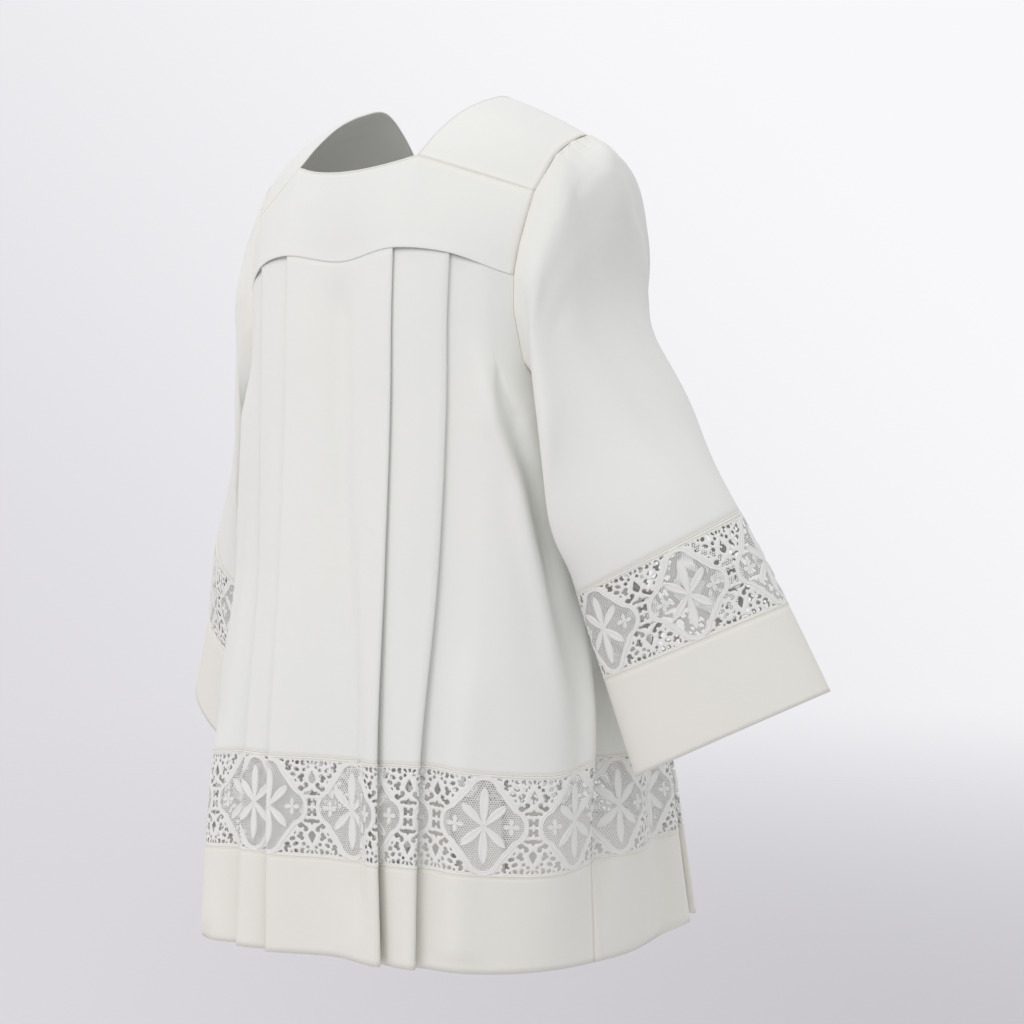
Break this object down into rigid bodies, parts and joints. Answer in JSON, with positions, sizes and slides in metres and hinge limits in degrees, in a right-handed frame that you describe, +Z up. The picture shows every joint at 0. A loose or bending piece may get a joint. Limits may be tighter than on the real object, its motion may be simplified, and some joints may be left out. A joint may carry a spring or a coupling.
{
  "type": "surplice",
  "caption": "White surplice in its worn form, with a square-necked yoke, box pleats front and back, bell sleeves, and lace insertions above plain hem and cuff bands.",
  "frame": {"origin": "between the wearer's shoulders, level with the top of the shoulder cloth", "axes": "+Z up the wearer's body, the wearer faces -Y and has the right hand at -X"},
  "size_m": [0.8691, 0.4278, 0.8936],
  "materials": {
    "ivory_cloth": "matt ivory-white crepe",
    "lace": "matt white lace",
    "hem_cloth": "matt cream crepe"
  },
  "bodies": {
    "root": {"front_yoke": "ivory_cloth", "back_yoke": "ivory_cloth", "front_panel": "ivory_cloth", "back_panel": "ivory_cloth", "lace_front": "lace", "lace_back": "lace", "hem_front": "hem_cloth", "hem_back": "hem_cloth", "sleeve_right": "ivory_cloth", "sleeve_left": "ivory_cloth", "sleeve_lace_right_back": "lace", "sleeve_lace_right_front": "lace", "sleeve_lace_left_back": "lace", "sleeve_lace_left_front": "lace", "cuff_right": "hem_cloth", "cuff_left": "hem_cloth"}
  },
  "joints": []
}
